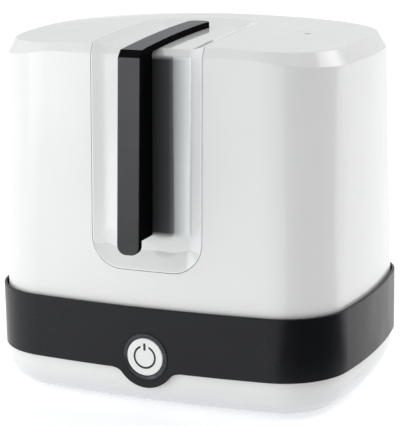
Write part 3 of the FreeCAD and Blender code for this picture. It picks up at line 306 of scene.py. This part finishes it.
def rubber(name, level):
    made = Nodes(name)
    cloud = made.noise(120.0, 4.0, seed=11.0)
    made.set(Base_Color=made.mix(cloud, tint((level,) * 3, 0.8), tint((level,) * 3, 1.25)),
             Roughness=made.range(made.noise(400.0, seed=12.0), 0.3, 0.7, 0.7, 0.9),
             Normal=made.bump(made.noise(1800.0, seed=13.0), 0.6, 0.0001))
    return made.material


def foot_rubber():
    return rubber("foot_black_rubber", 0.03)


def seal_rubber():
    return rubber("seal_grey_rubber", 0.1)


def steel(name, colour, roughness, stretch=(1.0, 60.0, 60.0), stain=0.1):
    """Steel with fine scratches, drawn out along one way by stretch, and a little heat or water stain."""
    made = Nodes(name)
    brushed = made.noise(90.0, 6.0, 0.7, stretch, seed=14.0)
    patches = made.noise(22.0, 3.0, seed=15.0)
    made.set(Base_Color=made.mix(made.range(patches, 0.4, 0.7, 0.0, 1.0), tint(colour, 1.0),
                                 tint((colour[0], colour[1] * 0.95, colour[2] * 0.86), 1.0 - stain)),
             Roughness=made.range(brushed, 0.3, 0.7, roughness * 0.75, roughness * 1.35),
             Normal=made.bump(brushed, 0.35, GRAIN_DEPTH))
    made.set(Metallic=1.0)
    return made.material


def stainless_steel():
    return steel("plate_stainless_steel", (0.62, 0.61, 0.59), roughness=0.27, stain=0.22)


def element_steel():
    return steel("element_dark_steel", (0.27, 0.25, 0.24), roughness=0.42, stretch=(1.0, 1.0, 1.0), stain=0.3)


def bracket_steel():
    return steel("bracket_steel", (0.58, 0.58, 0.57), roughness=0.33)


def spring_steel():
    return steel("spring_steel", (0.6, 0.6, 0.6), roughness=0.25, stretch=(1.0, 1.0, 1.0))


def screw_steel():
    return steel("screw_steel", (0.66, 0.66, 0.67), roughness=0.24, stretch=(8.0, 8.0, 1.0))


MAKERS = {maker.__name__: maker for maker in (
    white_plastic, dark_plastic, handle_plastic, panel_plastic, inner_plastic, rack_plastic,
    control_plastic, symbol_plastic, ring_plastic, lamp_plastic, board_laminate, foot_rubber,
    seal_rubber, stainless_steel, element_steel, bracket_steel, spring_steel, screw_steel)}


def paint_nodes():
    """Give every CAD node the material its slot in the record asks for."""
    made = {}
    for entry in frame["record"]["subparts"]:
        slot = entry["material_slot"]
        if slot not in made:
            made[slot] = MAKERS[slot]()
        thing = frame["nodes"][entry["node"]]
        thing.data.materials.clear()
        thing.data.materials.append(made[slot])


# ---------------------------------------------------------------- studio
def floor_material():
    made = Nodes("studio_floor")
    cloud = made.noise(3.0, 3.0, seed=20.0)
    made.set(Base_Color=made.mix(cloud, (0.9, 0.9, 0.905, 1.0), (0.92, 0.92, 0.925, 1.0)),
             Roughness=made.range(made.noise(30.0, seed=21.0), 0.3, 0.7, 0.5, 0.65),
             Normal=made.bump(made.noise(600.0, seed=22.0), 0.05, 0.0001))
    made.set(Emission_Color=(1.0, 1.0, 1.0, 1.0), Emission_Strength=0.4)
    return made.material


def make_floor():
    """A wide pale floor, a hair below the feet."""
    reach = WIDTH * 60
    level = LOW.z - 0.0002
    corners = [(-reach, -reach, level), (reach, -reach, level), (reach, reach, level), (-reach, reach, level)]
    mesh = bpy.data.meshes.new("floor")
    mesh.from_pydata(corners, [], [(0, 1, 2, 3)])
    mesh.materials.append(floor_material())
    floor = bpy.data.objects.new("floor", mesh)
    bpy.context.collection.objects.link(floor)


def around(azimuth, elevation, distance):
    """A place round the object: azimuth 0 is in front, and 90 to the right."""
    turn, rise = math.radians(azimuth), math.radians(elevation)
    level = distance * math.cos(rise)
    return Vector((math.sin(turn) * level, -math.cos(turn) * level, HEIGHT / 2 + distance * math.sin(rise)))


def face_middle(thing):
    middle = Vector((0.0, 0.0, HEIGHT / 2))
    thing.rotation_euler = (middle - thing.location).to_track_quat("-Z", "Y").to_euler()


def soft_box(name, azimuth, elevation, distance, width, height, power):
    data = bpy.data.lights.new(name, "AREA")
    data.shape = "RECTANGLE"
    data.size = width
    data.size_y = height
    data.energy = power
    light = bpy.data.objects.new(name, data)
    light.location = around(azimuth, elevation, distance)
    face_middle(light)
    bpy.context.collection.objects.link(light)


def cloth_material():
    made = Nodes("studio_black_cloth")
    made.set(Base_Color=made.mix(made.noise(8.0), (0.004, 0.004, 0.004, 1.0), (0.008, 0.008, 0.008, 1.0)),
             Roughness=made.range(made.noise(40.0), 0.3, 0.7, 0.85, 1.0))
    return made.material


def black_cloth(name, material, inner, outer, shades):
    """A strip of cloth, out of the picture, between two edges given by distance out and height.

    Mirrors always see it; it only takes light from other things when it shades.
    """
    low_turn, high_turn, parts = 28, 106, 16
    verts = []
    for i in range(parts + 1):
        turn = math.radians(low_turn + (high_turn - low_turn) * i / parts)
        for away, rise in (inner, outer):
            verts.append((math.sin(turn) * away, -math.cos(turn) * away, rise))
    faces = [(2 * i, 2 * i + 1, 2 * i + 3, 2 * i + 2) for i in range(parts)]
    mesh = bpy.data.meshes.new(name)
    mesh.from_pydata(verts, [], faces)
    mesh.materials.append(material)
    cloth = bpy.data.objects.new(name, mesh)
    bpy.context.collection.objects.link(cloth)
    cloth.visible_camera = False
    cloth.visible_shadow = False
    cloth.visible_diffuse = shades


def make_cloths():
    """Dark cloth on the floor and upright beyond it, which the glossy front right corner mirrors."""
    material = cloth_material()
    near, far, rise = 0.225, 1.2, 1.5
    black_cloth("floor_cloth", material, (near, 0.0), (far, 0.0), shades=False)
    black_cloth("upright_cloth", material, (far, 0.0), (far, rise), shades=True)


def make_lights():
    """A bright room with a soft box at the left, three at the right and dark cloths.

    The glint box is the narrow one, which lights the bevel.
    """
    world = bpy.data.worlds.new("studio")
    bpy.context.scene.world = world
    world.use_nodes = True
    background = world.node_tree.nodes["Background"]
    background.inputs["Color"].default_value = (0.975, 0.986, 0.996, 1.0)
    background.inputs["Strength"].default_value = 0.78
    soft_box("box_over", azimuth=84, elevation=50, distance=0.95, width=0.7, height=0.7, power=0.9)
    soft_box("box_glint", azimuth=108, elevation=38, distance=0.94, width=0.46, height=0.2, power=0.95)
    soft_box("box_left", azimuth=-48, elevation=16, distance=1.8, width=1.0, height=1.5, power=6.4)
    soft_box("box_right", azimuth=120, elevation=16, distance=1.6, width=0.8, height=1.3, power=2.2)
    make_cloths()


# ---------------------------------------------------------------- camera
AZIMUTH = math.radians(23.51)
ELEVATION = math.radians(13.93)
ROLL = math.radians(-0.98)
DISTANCE = 1.4072
# the lens looks at a point on the upright axis through the middle of the collar
AIM_HEIGHT = 0.1211
SENSOR = 36.0
LENS = 148.1
SHIFT_X = 0.0127
SHIFT_Y = 0.0273


def make_camera():
    collar_low, collar_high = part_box("base_collar")
    aim = Vector((0.0, (collar_low.y + collar_high.y) / 2, AIM_HEIGHT))
    back = Vector((math.sin(AZIMUTH) * math.cos(ELEVATION), -math.cos(AZIMUTH) * math.cos(ELEVATION),
                   math.sin(ELEVATION)))
    right = Vector((math.cos(AZIMUTH), math.sin(AZIMUTH), 0.0))
    up = back.cross(right)
    turn = Matrix((right, up, back)).transposed() @ Matrix.Rotation(ROLL, 3, "Z")
    data = bpy.data.cameras.new("camera")
    data.sensor_width = SENSOR
    data.lens = LENS
    data.shift_x = SHIFT_X
    data.shift_y = SHIFT_Y
    camera = bpy.data.objects.new("camera", data)
    camera.matrix_world = Matrix.Translation(aim + back * DISTANCE) @ turn.to_4x4()
    bpy.context.collection.objects.link(camera)
    bpy.context.scene.camera = camera


paint_nodes()
make_floor()
make_lights()
make_camera()
bpy.context.scene.view_settings.view_transform = "Standard"
